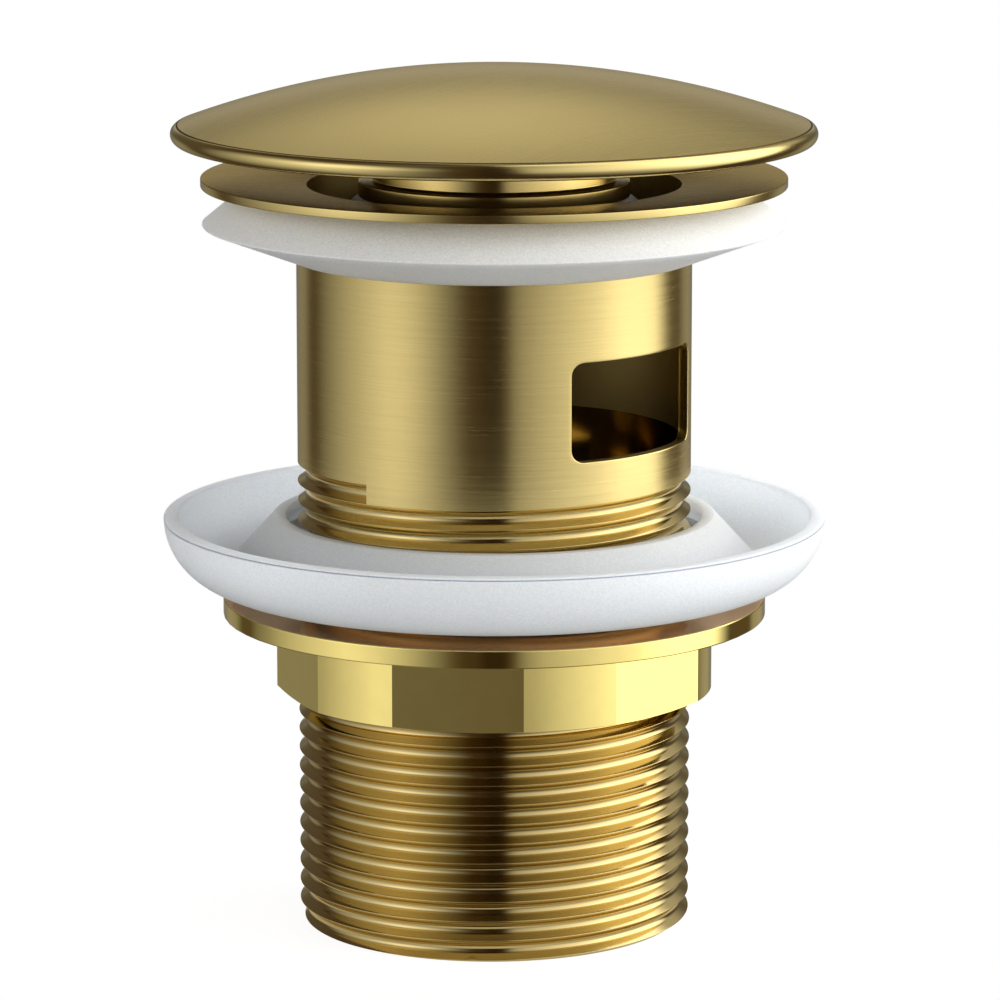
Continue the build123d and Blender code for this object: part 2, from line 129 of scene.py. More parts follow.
def rounded(corners, steps=4):
    """A closed outline with rounded corners, from rows of (radius, height, rounding): each corner becomes
    the arc that touches both of its sides, at the distance rounding / tan(half the corner's angle). It has
    steps + 1 points for each corner, so a slice of it takes out some corners."""
    corners = np.asarray(corners, float)
    point, rounding = corners[:, :2], corners[:, 2]
    back = np.roll(point, 1, 0) - point
    ahead = np.roll(point, -1, 0) - point
    back /= np.linalg.norm(back, axis=1)[:, None]
    ahead /= np.linalg.norm(ahead, axis=1)[:, None]
    half = np.arccos(np.clip((back * ahead).sum(1), -1, 1)) / 2
    middle = back + ahead
    middle /= np.maximum(np.linalg.norm(middle, axis=1), 1e-9)[:, None]
    centre = point + middle * (rounding / np.sin(half))[:, None]
    first = point + back * (rounding / np.tan(half))[:, None] - centre
    last = point + ahead * (rounding / np.tan(half))[:, None] - centre
    part = np.linspace(0, 1, steps + 1)[None, :, None]
    swing = first[:, None] * (1 - part) + last[:, None] * part
    length = np.maximum(np.linalg.norm(swing, axis=2, keepdims=True), 1e-9)
    return (centre[:, None] + swing / length * rounding[:, None, None]).reshape(-1, 2)


# Shader maths
class Wire:
    """An output in a node tree. Sums on wires add Math nodes, and numbers may stand on either side."""

    def __init__(self, bench, socket):
        self.bench, self.socket = bench, socket

    def _sum(self, operation, *values):
        return self.bench.node("ShaderNodeMath", {"operation": operation}, *values)[0]

    def __add__(self, other):
        return self._sum("ADD", self, other)

    def __radd__(self, other):
        return self._sum("ADD", other, self)

    def __sub__(self, other):
        return self._sum("SUBTRACT", self, other)

    def __rsub__(self, other):
        return self._sum("SUBTRACT", other, self)

    def __mul__(self, other):
        return self._sum("MULTIPLY", self, other)

    def __rmul__(self, other):
        return self._sum("MULTIPLY", other, self)

    def __neg__(self):
        return self._sum("MULTIPLY", self, -1.0)

    def power(self, other):
        return self._sum("POWER", self, other)

    def size(self):
        return self._sum("ABSOLUTE", self)

    def slope(self, low, high, start=0.0, end=1.0):
        """Straight rise from start at low to end at high."""
        return self.bench.node("ShaderNodeMapRange", {"clamp": True}, self, low, high, start, end)[0]

    def ramp(self, low, high, start=0.0, end=1.0):
        """Smooth step: start below low, end above high."""
        settings = {"interpolation_type": "SMOOTHSTEP", "clamp": True}
        return self.bench.node("ShaderNodeMapRange", settings, self, low, high, start, end)[0]


class Bench:
    """A node tree. One method adds every node: settings first, then values or wires, in the order of the
    sockets or by their names."""

    def __init__(self, tree):
        self.tree = tree

    def node(self, kind, settings=None, *values, **named):
        made = self.tree.nodes.new(kind)
        for key, value in (settings or {}).items():
            setattr(made, key, value)
        by_name = {socket.name.lower().replace(" ", "_"): socket for socket in made.inputs}
        filled = [*zip(made.inputs, values), *((by_name[key], value) for key, value in named.items())]
        for socket, value in filled:
            if isinstance(value, Wire):
                self.tree.links.new(value.socket, socket)
            elif value is not None:
                socket.default_value = value
        return [Wire(self, output) for output in made.outputs]

    def mix(self, factor, first, second):
        """Colour between two colours: the colour sockets are the seventh and eighth."""
        unused = [None] * 5
        return self.node("ShaderNodeMix", {"data_type": "RGBA"}, factor, *unused, first, second)[2]

    def place(self):
        """Object coordinates in millimetres, as three wires."""
        where = self.node("ShaderNodeTexCoord")[3]
        scaled = self.node("ShaderNodeVectorMath", {"operation": "SCALE"}, where, None, None, 1000.0)[0]
        return self.node("ShaderNodeSeparateXYZ", None, scaled)[:3]

    def noise(self, x, y, z, detail=2.0, roughness=0.5):
        """Noise at a point; its features are about one unit across."""
        where = self.node("ShaderNodeCombineXYZ", None, x, y, z)[0]
        return self.node("ShaderNodeTexNoise", None, where, None, 1.0, detail, roughness)[0]

    def bump(self, height, depth):
        """Normal of a surface raised by height times depth, in millimetres."""
        return self.node("ShaderNodeBump", None, strength=1.0, distance=depth * MILLIMETRE, height=height)[0]


def new_material(name):
    """An empty material and a bench for its nodes."""
    material = bpy.data.materials.new(name)
    material.use_nodes = True
    material.node_tree.nodes.clear()
    return material, Bench(material.node_tree)


def dress(bench, **sockets):
    """Ends a material in one Principled shader, with its sockets by name."""
    shader = bench.node("ShaderNodeBsdfPrincipled", None, **sockets)[0]
    bench.node("ShaderNodeOutputMaterial", None, shader)


# Finishes
gold, edge_gold = (0.68, 0.535, 0.215), (0.95, 0.88, 0.70)
brushing = radians(42)


def toned(colour, factor):
    """A colour made darker or lighter by a factor, with full alpha."""
    return (*(min(1.0, c * factor) for c in colour), 1)


def brushed_metal(name, colour, grain, roughness=0.24, anisotropy=0.8, wear=1.0, edge=edge_gold):
    """Brushed metal. Its hairlines are noise stretched along the brushing: round the axis for 'round', and
    along slightly bowed lines across the top for 'straight'. Edge is its tint at a grazing angle."""
    material, bench = new_material(name)
    x, y, z = bench.place()
    if grain == "round":
        long_a, long_b, across = x * 0.07, y * 0.07, z * 6.0
        fine_a, fine_b, fine_across = x * 0.2, y * 0.2, z * 15.0
    else:
        along = x * cos(brushing) + y * sin(brushing)
        over = y * cos(brushing) - x * sin(brushing) + along * along * 0.0015
        long_a, long_b, across = along * 0.045, z * 0.1, over * 5.0
        fine_a, fine_b, fine_across = along * 0.12, z * 0.2, over * 12.0
    coarse = bench.noise(long_a, long_b, across, 2.0, 0.6)
    fine = bench.noise(fine_a, fine_b, fine_across, 2.0, 0.6)
    cloud = bench.noise(x * 0.06, y * 0.06, z * 0.06, 2.0)
    lines = coarse * 0.5 + fine * 0.5
    tone = lines.ramp(0.3, 0.7) * 0.8 + cloud.ramp(0.3, 0.7) * 0.2
    shade = bench.mix(tone, toned(colour, 1 - 0.07 * wear), toned(colour, 1 + 0.06 * wear))
    rough = lines.ramp(0.25, 0.75, roughness - 0.03 * wear, roughness + 0.04 * wear)
    dress(bench, base_color=shade, metallic=1.0, roughness=rough,
          anisotropic=anisotropy, anisotropic_rotation=0.25, specular_tint=(*edge, 1),
          normal=bench.bump(lines, 0.003 * wear))
    return material


def polished_metal(name, colour):
    """Polished metal with a faint haze of fine rubbing marks."""
    material, bench = new_material(name)
    x, y, z = bench.place()
    haze = bench.noise(x * 0.5, y * 0.5, z * 0.5, 4.0)
    rub = bench.noise(x * 1.2, y * 1.2, z * 9.0, 2.0)
    shade = bench.mix(haze.ramp(0.3, 0.7), toned(colour, 0.97), (*colour, 1))
    dress(bench, base_color=shade, metallic=1.0, specular_tint=(*edge_gold, 1),
          roughness=rub.ramp(0.3, 0.7, 0.05, 0.075) + haze.ramp(0.45, 0.75, 0.0, 0.02))
    return material


def satin_metal(name, colour, light):
    """Faced top of the nut: smooth enough to mirror the thread, with a fine sparkle."""
    material, bench = new_material(name)
    x, y, z = bench.place()
    facet = bench.noise(x * 5.0, y * 5.0, z * 5.0, 2.0, 0.7)
    shade = bench.mix(facet.ramp(0.35, 0.7), (*colour, 1), (*light, 1))
    dress(bench, base_color=shade, metallic=0.7, roughness=facet.ramp(0.3, 0.7, 0.08, 0.14),
          specular_tint=(0.90, 0.66, 0.45, 1), normal=bench.bump(facet, 0.004))
    return material


def moulded_rubber(name, colour, deep, grain=1.0, reach=0.003):
    """Milky silicone. Light goes in as far as reach, in metres, and the surface has a fine grain, with
    painted glints: sparse near-white specks mixed into its colour."""
    material, bench = new_material(name)
    x, y, z = bench.place()
    sand = bench.noise(x * 3.4, y * 3.4, z * 3.4, 3.0, 0.75)
    glint_speck = bench.noise(x * 6.5, y * 6.5, z * 6.5, 1.0)
    cloud = bench.noise(x * 0.12, y * 0.12, z * 0.12, 2.0)
    shade = bench.mix(sand.ramp(0.32, 0.68), (*deep, 1), (*colour, 1))
    # Painted glints: sparse near-white specks mixed into the colour. The same noise also raises the bump, and
    # grain scales both the painted glints and the real bump.
    shade = bench.mix(glint_speck.ramp(0.60, 0.72) * 0.7 * grain, shade, (0.97, 0.98, 1, 1))
    dress(bench, base_color=shade, roughness=cloud.ramp(0.3, 0.7, 0.42, 0.5),
          subsurface_weight=0.8, subsurface_radius=(0.93 * reach, reach, 1.13 * reach), subsurface_scale=1.0,
          ior=1.43, specular_ior_level=0.35,
          normal=bench.bump(sand + glint_speck * 0.5, 0.03 * grain))
    return material


def dark_rubber(name):
    """Black rubber of the O-ring, a little dusty."""
    material, bench = new_material(name)
    x, y, z = bench.place()
    dust = bench.noise(x * 1.5, y * 1.5, z * 1.5, 4.0)
    shade = bench.mix(dust.ramp(0.4, 0.8), (0.012, 0.012, 0.013, 1), (0.035, 0.034, 0.033, 1))
    dress(bench, base_color=shade, roughness=dust.ramp(0.3, 0.7, 0.45, 0.6))
    return material


def acetal_plastic(name):
    """White acetal with faint flow marks."""
    material, bench = new_material(name)
    x, y, z = bench.place()
    flow = bench.noise(x * 0.4, y * 0.4, z * 0.15, 4.0)
    shade = bench.mix(flow.ramp(0.3, 0.7), (0.70, 0.70, 0.67, 1), (0.80, 0.80, 0.77, 1))
    dress(bench, base_color=shade, roughness=flow.ramp(0.3, 0.7, 0.32, 0.42),
          subsurface_weight=0.15, subsurface_radius=(0.001, 0.001, 0.0009), subsurface_scale=1.0)
    return material


def drawn_steel(name):
    """Spring wire with lengthwise drawing marks."""
    material, bench = new_material(name)
    x, y, z = bench.place()
    marks = bench.noise(x * 0.8, y * 0.8, z * 6.0, 3.0)
    shade = bench.mix(marks.ramp(0.3, 0.7), (0.42, 0.42, 0.43, 1), (0.60, 0.60, 0.62, 1))
    dress(bench, base_color=shade, metallic=1.0, roughness=marks.ramp(0.3, 0.7, 0.22, 0.36))
    return material


body_gold = brushed_metal("body_brushed_gold", gold, "round")
cap_gold = brushed_metal("cap_brushed_gold", gold, "straight", roughness=0.25, anisotropy=0.0)
thread_gold = brushed_metal("thread_cut_gold", (0.60, 0.465, 0.205), "round", roughness=0.11, anisotropy=0.2,
                            wear=0.3)
bead_gold = brushed_metal("bead_satin_gold", gold, "round", roughness=0.15, anisotropy=0.3, wear=0.4)
# Painted shade: a darker, rougher copy of the gold for the bore's inside, standing in for the shade deep
# inside the hole.
bore_shade_gold = brushed_metal("inside_matt_gold", (0.36, 0.26, 0.09), "round", roughness=0.45, anisotropy=0.0)
# Painted shade: a near-black copy of the gold for the cap's underside, standing in for the shade under the
# cap.
underside_shade_gold = brushed_metal("underside_matt_gold", (0.20, 0.14, 0.05), "round", roughness=0.4, anisotropy=0.0)
# Painted shade: a near-black copy of the gold for the fine groove, standing in for the shade in the crease
# between dome and bead.
groove_shade_gold = brushed_metal("groove_dark_gold", (0.10, 0.06, 0.02), "round", roughness=0.5, anisotropy=0.0)
flange_gold = brushed_metal("flange_brushed_gold", gold, "straight", roughness=0.25, anisotropy=0.0,
                            edge=(0.85, 0.72, 0.42))
core_gold = brushed_metal("core_satin_gold", gold, "round", roughness=0.18, anisotropy=0.3, wear=0.6)
nut_gold = polished_metal("nut_polished_gold", (0.96, 0.775, 0.265))
nut_face = satin_metal("nut_satin_face", (0.92, 0.62, 0.37), (1.0, 0.80, 0.56))
brass = brushed_metal("cartridge_machined_brass", (0.60, 0.46, 0.20), "round", roughness=0.28, anisotropy=0.4)
cool_silicone = moulded_rubber("cup_milky_silicone", (0.81, 0.90, 1.0), (0.73, 0.83, 1.0), reach=0.012)
silicone = moulded_rubber("washer_milky_silicone", (0.83, 0.84, 0.835), (0.73, 0.74, 0.735))
seal_silicone = moulded_rubber("seal_milky_silicone", (0.80, 0.82, 0.86), (0.74, 0.76, 0.80), grain=0.6)
ring_rubber = dark_rubber("ring_black_rubber")
acetal = acetal_plastic("cartridge_white_acetal")
spring_steel = drawn_steel("spring_drawn_steel")


# Threaded tail
def thread_profile():
    """Half a turn of the thread, from crest to root, as how far each point is along the pitch and how deep
    it lies: an arc round the crest, a straight flank, and a wide arc in the root. Along an arc the run is
    radius sin(angle) and the depth is radius (1 - cos(angle))."""
    bend = thread_flank * np.linspace(0, 1, 5)
    run = np.concatenate([crest_rounding * np.sin(bend),
                          thread_pitch / 2 - root_rounding * np.sin(bend[::-1])])
    depth = np.concatenate([crest_rounding * (1 - np.cos(bend)),
                            thread_depth - root_rounding * (1 - np.cos(bend[::-1]))])
    return run / thread_pitch, depth


def threaded_tail():
    """The tail's outside is a grid sheared along the helix: height = root + pitch (turn + azimuth / 360),
    held between the two ends, and radius = crest radius - depth. The lower end cuts the thread off flat: in
    each column the row just below it moves up the thread's own slope onto it, and the rows below that go in
    to the bore. Above the last groove the tail is plain, so the last turn ends in a blunt wall at the azimuth
    where the cutter stopped."""
    run, half = thread_profile()
    turn = np.concatenate([run - 0.5, 0.5 - run[-2:0:-1]])
    depth = np.concatenate([half, half[-2:0:-1]])
    whole = np.arange(-thread_turns, 2)[:, None]
    plain = np.linspace(1.5, 3.5, 5)
    turns = np.append((turn + whole).ravel(), plain)
    depths = np.append((depth * (whole <= 0)).ravel(), 0 * plain)
    part = np.linspace(0, 1, 169)
    azimuth = thread_end_azimuth + 360 * part
    height = thread_end_root + thread_pitch * (turns[:, None] + part[None, :])
    radius = np.broadcast_to(tube_radius - depths[:, None], height.shape)
    radius = np.minimum(radius, tube_radius - tail_chamfer + np.clip(height, 0, 2))
    row = np.arange(len(turns))[:, None]
    first = (height < 0).sum(0)[None, :]
    above, below = np.minimum(first, len(turns) - 1), np.maximum(first - 1, 0)
    high, low = np.take_along_axis(height, above, 0), np.take_along_axis(height, below, 0)
    wide, narrow = np.take_along_axis(radius, above, 0), np.take_along_axis(radius, below, 0)
    crossing = wide + (narrow - wide) * high / (high - low)
    lower_end = bore_radius + bore_break
    radius = np.where(row >= first, radius, np.where(row == first - 1, crossing, lower_end))
    height = np.clip(height, 0, tail_top)
    outside = on_axis(azimuth[None, :], radius, height)
    groove = slice(thread_turns * len(turn), (thread_turns + 1) * len(turn) + 1)
    wall = np.stack([outside[groove, -1], on_axis(azimuth[-1], tube_radius, height[groove, -1])], 1)
    inner = [(lower_end, 0), (bore_radius, bore_break), (bore_radius, tail_top)]
    rings = [on_axis(azimuth, r, z * np.ones_like(azimuth)) for r, z in inner]
    inside = np.stack([outside[0], *rings, outside[-1]])
    return [(outside, False, False), (wall, False, False), (inside, False, False)]


tail = make_piece("threaded_tail", threaded_tail(), "waste", thread_gold, crease=22)
finish_faces(tail, body_gold, lambda r, z, up: (r > tube_radius - 0.02) & (z > thread_end_root))
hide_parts("waste_body")


# Slotted tube and flange
block_reach, block_top = 34.0, 64.4
arc_steps, long_steps, short_steps = 8, 16, 6
corner_angle = degrees(asin((slot_half_width - slot_corner) / tube_radius))
block_columns = np.concatenate([
    np.linspace(-block_reach, -corner_angle, arc_steps // 2 + 1)[:-1],
    np.linspace(-corner_angle, corner_angle, long_steps + 1),
    np.linspace(corner_angle, block_reach, arc_steps // 2 + 1)[1:],
])
block_rows = np.concatenate([
    np.linspace(tail_top, slot_bottom + slot_corner, arc_steps // 2 + 1)[:-1],
    np.linspace(slot_bottom + slot_corner, slot_top - slot_corner, short_steps + 1),
    np.linspace(slot_top - slot_corner, block_top, arc_steps // 2 + 1)[1:],
])
gap_columns = np.linspace(block_reach, 180 - block_reach, 57)
tube_columns = slot_azimuth + np.concatenate([
    block_columns[:-1], gap_columns[:-1], block_columns[:-1] + 180, gap_columns[:-1] + 180])


def around(columns, rows):
    """Loop round a rectangle of columns and rows, starting at its lower left corner."""
    low, right = (columns[:-1], rows[0] + 0 * columns[:-1]), (columns[-1] + 0 * rows[:-1], rows[:-1])
    top = (columns[:0:-1], rows[-1] + 0 * columns[:0:-1])
    left = (columns[0] + 0 * rows[:0:-1], rows[:0:-1])
    return tuple(np.concatenate([side[k] for side in (low, right, top, left)]) for k in (0, 1))


def slot_outline():
    """Loop round the slot with the same number of points as the rectangle round it: straight runs and corner
    arcs, from the middle of the lower left corner. Gives sideways place, height, and the outward direction at
    each point."""
    quarter = np.linspace(0, 90, arc_steps + 1)
    half_u, half_v = slot_half_width - slot_corner, (slot_top - slot_bottom) / 2 - slot_corner
    u, v, a = [], [], []
    sides = ((-1, -1, 180, long_steps, (1, 0)), (1, -1, 270, short_steps, (0, 1)),
             (1, 1, 0, long_steps, (-1, 0)), (-1, 1, 90, short_steps, (0, -1)))
    for su, sv, start, steps, along in sides:
        angle = start + quarter
        u.append(su * half_u + slot_corner * np.cos(np.radians(angle)))
        v.append(sv * half_v + slot_corner * np.sin(np.radians(angle)))
        a.append(angle)
        run = np.arange(1, steps) / steps
        length = 2 * half_u if along[0] else 2 * half_v
        u.append(u[-1][-1] + along[0] * length * run)
        v.append(v[-1][-1] + along[1] * length * run)
        a.append(angle[-1] + 0 * run)
    u, v, a = np.concatenate(u), np.concatenate(v), np.radians(np.concatenate(a))
    u, v, a = (np.roll(values, -arc_steps // 2) for values in (u, v, a))
    return u, v + (slot_top + slot_bottom) / 2, np.cos(a), np.sin(a)


def slot_surfaces(azimuth, edge=0.12):
    """Faces round one slot: the outside of the tube shrinks from a rectangle to the slot's outline, rounds
    the edge, goes in between parallel walls, where the azimuth at a radius is asin(sideways / radius), rounds
    the inner edge, and spreads to the rectangle again on the bore."""
    u, v, nu, nv = slot_outline()
    rim_azimuth, rim_height = around(block_columns, block_rows)

    def level(offset, radius):
        sideways = u + offset * nu
        return np.degrees(np.arcsin(np.clip(sideways / radius, -1, 1))), v + offset * nv, radius + 0 * u

    def spread(radius, offset):
        near_azimuth, near_height, _ = level(offset, radius)
        part = np.linspace(0, 1, 6)[:, None] ** 0.7
        return (rim_azimuth * (1 - part) + near_azimuth * part,
                rim_height * (1 - part) + near_height * part, radius + 0 * part * u)

    bend = np.radians(np.linspace(0, 90, 5))[1:]
    outer = spread(tube_radius, edge)
    inner = tuple(values[::-1] for values in spread(bore_radius, edge))
    turns_in = [level(edge * (1 - sin(b)), tube_radius - edge * (1 - cos(b))) for b in bend]
    walls = [level(0, r) for r in np.linspace(tube_radius - edge, bore_radius + edge, 4)[1:]]
    turns_out = [level(edge * (1 - cos(b)), bore_radius + edge * (1 - sin(b))) for b in bend[:-1]]
    middle = [np.stack([ring[k] for ring in turns_in + walls + turns_out]) for k in (0, 1, 2)]
    place = [np.concatenate([outer[k], middle[k], inner[k]]) for k in (0, 1, 2)]
    return on_axis(azimuth + place[0], place[2], place[1]), False, True


def slotted_tube():
    """Turned surfaces above the slots, belts between them, the slots themselves, and the flat foot. The
    flange dips inwards as a shallow dish, by the same slope above and below."""
    edge, foot_dip = 0.14, flange_dish * (flange_radius - tube_radius) / (flange_radius - bore_radius)
    upper = rounded([
        (tube_radius, block_top, 0), (tube_radius, flange_bottom - foot_dip, 0.2),
        (flange_radius, flange_bottom, edge), (flange_radius, flange_top, edge),
        (bore_radius, flange_top - flange_dish, 0.08), (bore_radius, block_top, 0),
    ], 5)
    ring = np.append(tube_columns, tube_columns[0] + 360)
    patches = [(on_axis(ring[:, None], upper[None, :, 0], upper[None, :, 1]), False, False)]
    for azimuth in (slot_azimuth, slot_azimuth + 180):
        patches.append(slot_surfaces(azimuth))
        columns = azimuth + gap_columns
        for radius in (tube_radius, bore_radius):
            patches.append((on_axis(columns[:, None], radius, block_rows[None, :]), False, False))
    foot = np.array([(tube_radius, tail_top), (bore_radius, tail_top)])
    patches.append((on_axis(ring[:, None], foot[None, :, 0], foot[None, :, 1]), False, False))
    return patches


tube = make_piece("slotted_tube", slotted_tube(), "waste", body_gold)
finish_faces(tube, flange_gold, lambda r, z, up: (up > 0.9) & (z > flange_bottom))
# The bore above the tail takes the darker gold: painted shade inside the hole.
finish_faces(tube, bore_shade_gold, lambda r, z, up: (r < bore_radius + 0.03) & (z > tail_top))
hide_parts("waste_body")


# Plug
dome_radius, dome_centre, cover_wall = 97.1, -5.573, 1.2
bead_centre, bead_radius, bead_inner, bead_top = (33.19, 84.69), 0.93, 32.95, 85.62
lip_radius, lip_bottom, lip_edge, underside_shade_reach = 32.22, 83.76, 0.2, 32.3
dome_angle = degrees(asin(bead_centre[0] / (dome_radius - bead_radius)))
groove_angle, groove_depth, groove_bottom = 0.12, 0.1, 85.4
groove_start = dome_radius * sin(radians(dome_angle - groove_angle))
groove_end = dome_radius * sin(radians(dome_angle))


def dome_profile():
    """Outline of the cover: an arc of the dome, a fine groove, the round bead, a short lip, and the
    inside."""
    centre, inner_radius = (0, dome_centre), dome_radius - cover_wall
    outer = arc(centre, dome_radius, 90, 90 + groove_angle - dome_angle, 48)
    groove = arc(centre, dome_radius - groove_depth, 90 + groove_angle * 0.6 - dome_angle,
                 90 + groove_angle * 0.4 - dome_angle, 1)
    bead = arc(bead_centre, bead_radius, 90 - dome_angle, -90, 28)
    lip_angle = degrees(np.arccos(lip_radius / inner_radius))
    lip_top = dome_centre + inner_radius * sin(radians(lip_angle))
    lip = rounded([(33.0, lip_bottom, 0), (lip_radius, lip_bottom, lip_edge), (lip_radius, lip_top, 0)])
    inner = arc(centre, inner_radius, lip_angle, 90, 24)
    return np.concatenate([outer, groove, bead, lip[5:10], inner])


cap = make_piece("domed_cover", [turned(dome_profile(), 288, closed=False)], "plug_head", cap_gold,
                 crease=35)
finish_faces(cap, bead_gold, lambda r, z, up: (r > bead_inner) & (z < bead_top))
# The fine groove's faces take the near-black gold: painted shade in the crease.
finish_faces(cap, groove_shade_gold, lambda r, z, up: (r > groove_start) & (r < groove_end) & (z > groove_bottom))
# The cap's downward faces take the near-black gold: painted shade under the cap.
finish_faces(cap, underside_shade_gold, lambda r, z, up: (up < 0.2) & (r < underside_shade_reach))
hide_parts("dome_cap")

collar_radius, disc_radius, disc_top, disc_bottom = 12.8, 14.35, 79.70, 78.0
spigot_radius, spigot_bottom, ring_radius, ring_top = 8.0, 71.0, 5.5, 72.41
stem_hole_radius, stem_hole_top, near_axis = 4.05, 84.0, 0.02
core_profile = rounded([
    (collar_radius, 89.45, 0), (collar_radius, disc_top, 0.25), (disc_radius, disc_top, 0.14),
    (disc_radius, disc_bottom, 0.14), (spigot_radius, disc_bottom, 0), (spigot_radius, spigot_bottom, 0.2),
    (ring_radius, spigot_bottom, 0), (ring_radius, ring_top, 0), (stem_hole_radius, ring_top, 0),
    (stem_hole_radius, stem_hole_top, 0), (near_axis, stem_hole_top, 0), (near_axis, 90.0, 0),
])
core = make_piece("plug_collar", [turned(core_profile, 160)], "plug_head", core_gold, crease=35)
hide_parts("plug_core")

seal_lip_radius, seal_bottom = 19.7, 76.0
seal_profile = rounded([
    (spigot_radius, disc_bottom, 0), (disc_radius, disc_bottom, 0.3), (seal_lip_radius, 74.1, 0.25),
    (seal_lip_radius, 73.5, 0.15), (13.2, seal_bottom, 0.5), (spigot_radius, seal_bottom, 0),
])
seal = make_piece("flared_seal", [turned(seal_profile, 160)], "plug_head", seal_silicone,
                  crease=50)
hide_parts("plug_seal")

# Washers, with the tapered one's top hollowed towards its hole
washer_hole, washer_bottom = 21.01, 71.50
upper_profile = rounded([
    (26.3, 78.72, 0.2), (28.13, 77.42, 6.0), (30.97, 75.10, 0.12), (28.4, 74.14, 12.0),
    (21.35, washer_bottom, 0.25), (washer_hole, washer_bottom, 0.1), (washer_hole, 78.07, 0.1),
], steps=5)
upper = make_piece("tapered_washer", [turned(upper_profile, 256)], "upper_washer", silicone,
                   crease=50)
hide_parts("upper_washer")

cup_centre, cup_outside, cup_wall = (28.15, 43.75), 7.1, 1.65
cup_rim_radius, cup_rim_top, cup_rim_edge = 35.25, 43.9, 0.28
cup_lip_radius, web_top, web_bottom = 22.2, 41.2, 40.2


def cup_profile():
    """Outline of the bowl washer: quarter round outside, flat rim, floor, cone up to the lip, and a hollow
    below, in which a thin web grips the thread."""
    outside = arc(cup_centre, cup_outside, -90, 0, 32)
    rim_inner = cup_rim_radius - cup_wall
    rim = rounded([(cup_rim_radius, 43.0, 0), (cup_rim_radius, cup_rim_top, cup_rim_edge),
                   (rim_inner, cup_rim_top, cup_rim_edge), (rim_inner, 43.0, 0)], 5)[6:18]
    inside = arc(cup_centre, cup_outside - cup_wall, 0, -85.3, 28)[1:]
    cone = rounded([(28.6, 38.32, 0), (23.45, cup_rim_top, 0.18), (cup_lip_radius, cup_rim_top, 0.15),
                    (cup_lip_radius, 42.8, 0)], 4)[5:15]
    under = np.array([(cup_lip_radius, 42.82), (23.73, web_top), (washer_hole, web_top),
                      (washer_hole, web_bottom), (24.66, web_bottom), (27.93, 36.65)])
    return np.concatenate([outside, rim, inside, cone, under])


cup = make_piece("bowl_washer", [turned(cup_profile(), 288)], "cup_washer", cool_silicone,
                 crease=50)
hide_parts("cup_washer")

# Backnut
nut_bottom, nut_top, nut_flange_bottom = 24.9, 35.09, 33.16
nut_flat, nut_corner, nut_azimuth = 22.25, 23.3, -9.7
nut_flange_radius, nut_edge, nut_fillet = 28.99, 0.14, 0.12
nut_bore, nut_mouth, nut_mouth_depth = 21.0, 21.5, 0.5
chamfer_base, chamfer_slope = 22.3, 0.306


def hexagon_columns(flat, corner, start, flat_steps=6, corner_steps=10):
    """Azimuths round a hexagon whose corners are turned down, with columns exactly where flats end."""
    reach = degrees(np.arccos(flat / corner))
    one = np.concatenate([np.linspace(-reach, reach, flat_steps + 1)[:-1],
                          np.linspace(reach, 60 - reach, corner_steps + 1)[:-1]])
    return np.concatenate([start + 60 * k + one for k in range(6)])


def backnut():
    """Hexagon below a round flange: the radius of a flat is flat / cos(azimuth from its middle), limited by
    the turned corners. Below, each column starts on their shallow chamfer, which rises 3 in 10 outwards. The
    bore is plain, with a chamfered mouth at both ends."""
    columns = hexagon_columns(nut_flat, nut_corner, nut_azimuth)
    from_middle = (columns - nut_azimuth + 30) % 60 - 30
    hexagon = np.minimum(nut_flat / np.cos(np.radians(from_middle)), nut_corner)
    rise = chamfer_slope * np.maximum(hexagon - chamfer_base, 0)
    radii = [np.minimum(hexagon, chamfer_base), hexagon, hexagon]
    heights = [nut_bottom + 0 * rise, nut_bottom + rise, nut_flange_bottom - nut_fillet + 0 * rise]
    fillet = arc((nut_fillet, -nut_fillet), nut_fillet, 180, 90, 3)
    for offset, level in fillet[1:]:
        radii.append(hexagon + offset)
        heights.append(np.full(len(columns), nut_flange_bottom + level))
    edge = np.concatenate([
        arc((nut_flange_radius - nut_edge, nut_flange_bottom + nut_edge), nut_edge, -90, 0, 4),
        arc((nut_flange_radius - nut_edge, nut_top - nut_edge), nut_edge, 0, 90, 4),
        [(nut_mouth, nut_top), (nut_bore, nut_top - nut_mouth_depth)],
        [(nut_bore, nut_bottom + nut_mouth_depth), (nut_mouth, nut_bottom)],
    ])
    radii += [np.full(len(columns), r) for r in edge[:, 0]]
    heights += [np.full(len(columns), z) for z in edge[:, 1]]
    return [(on_axis(columns[None, :], np.stack(radii), np.stack(heights)), True, True)]


nut = make_piece("flanged_backnut", backnut(), "backnut", nut_gold, crease=11)
finish_faces(nut, nut_face, lambda r, z, up: (up > 0.9) & (z > nut_top - nut_edge))
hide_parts("backnut")

# Finishes of the pieces kept as they are
kept = {
    "spider": brass, "cartridge_housing": brass, "housing_plug": brass, "locknut_washer": brass,
    "cartridge_locknut": brass, "plunger": brass, "height_locknut": brass, "seal_retainer": brass,
    "retainer_nut": brass, "cam_sleeve": acetal, "guide_bush": acetal, "rotor": acetal,
    "stem_oring": ring_rubber, "return_spring": spring_steel,
}
for node, material in kept.items():
    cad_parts[node].data.materials.clear()
    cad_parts[node].data.materials.append(material)


